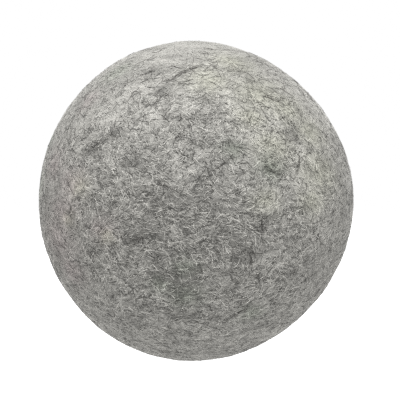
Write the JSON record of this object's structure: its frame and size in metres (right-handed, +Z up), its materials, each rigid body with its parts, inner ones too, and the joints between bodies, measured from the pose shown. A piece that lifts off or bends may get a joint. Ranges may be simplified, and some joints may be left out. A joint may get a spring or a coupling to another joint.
{
  "type": "dryer ball",
  "caption": "Felted wool ball that tumbles with wet laundry: wound yarn core, crosswise layers of carded wool, marled grey cover.",
  "frame": {"origin": "the ball's centre", "axes": "+Z up through the ball's longest axis, +X along its shortest axis; the ball has no front"},
  "size_m": [0.0694, 0.07, 0.0706],
  "materials": {
    "scrap_wool": "matte",
    "wool_yarn": "matte",
    "undyed_wool": "matte",
    "grey_wool": "matte"
  },
  "bodies": {
    "root": {"starter_tuft": "scrap_wool", "wound_yarn_core": "wool_yarn", "binding_veil": "undyed_wool", "inner_batt_lengthwise": "undyed_wool", "inner_batt_crosswise": "undyed_wool", "middle_batt_lengthwise": "undyed_wool", "middle_batt_crosswise": "undyed_wool", "cover_wool_lengthwise": "grey_wool", "cover_wool_crosswise": "grey_wool"}
  },
  "joints": []
}
